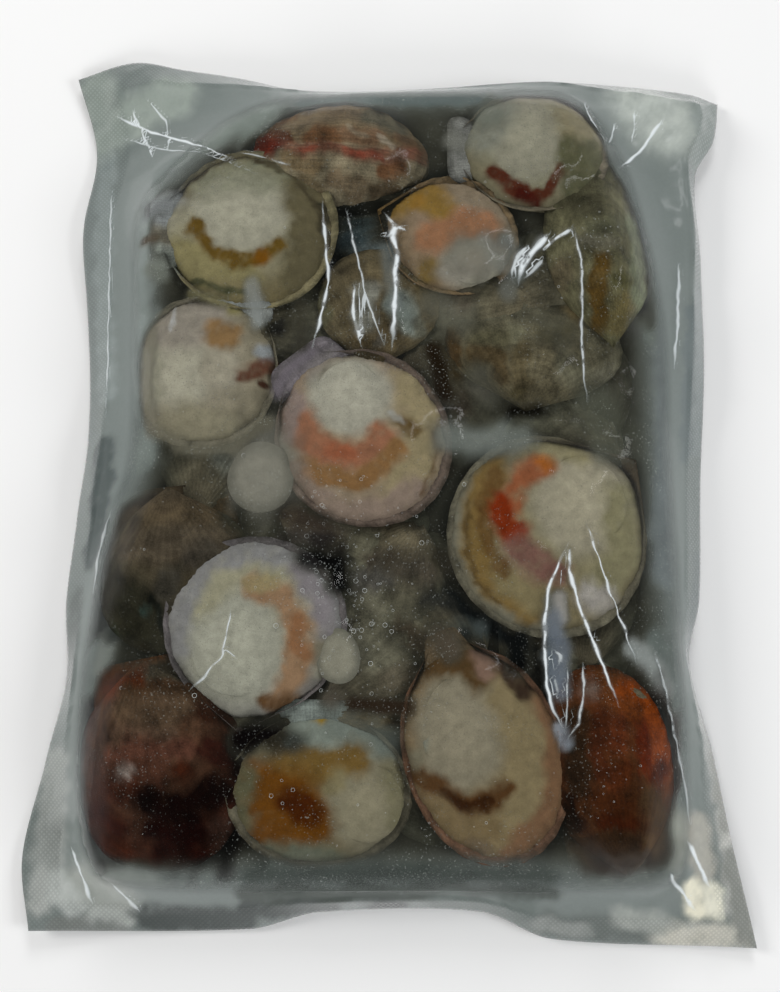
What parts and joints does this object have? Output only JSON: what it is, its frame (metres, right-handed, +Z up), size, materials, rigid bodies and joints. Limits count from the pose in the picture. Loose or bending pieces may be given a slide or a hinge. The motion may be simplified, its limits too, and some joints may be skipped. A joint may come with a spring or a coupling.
{
  "type": "vacuum pouch of frozen scallops in shell",
  "caption": "Clear flat vacuum pouch with a welded wavy border, filled with frozen scallops in the shell and ice, lying on its back.",
  "frame": {"origin": "middle of the pouch's bounding box, at the surface it lies on", "axes": "+Z up out of the front film, +Y along the pouch towards its top weld, +X across it to the right"},
  "size_m": [0.253, 0.3241, 0.03],
  "materials": {
    "pouch_film": "glossy clear film over hazy grey-green ice and shells, with a dull embossed border weld"
  },
  "bodies": {
    "root": {"vacuum_pouch": "pouch_film"}
  },
  "joints": []
}
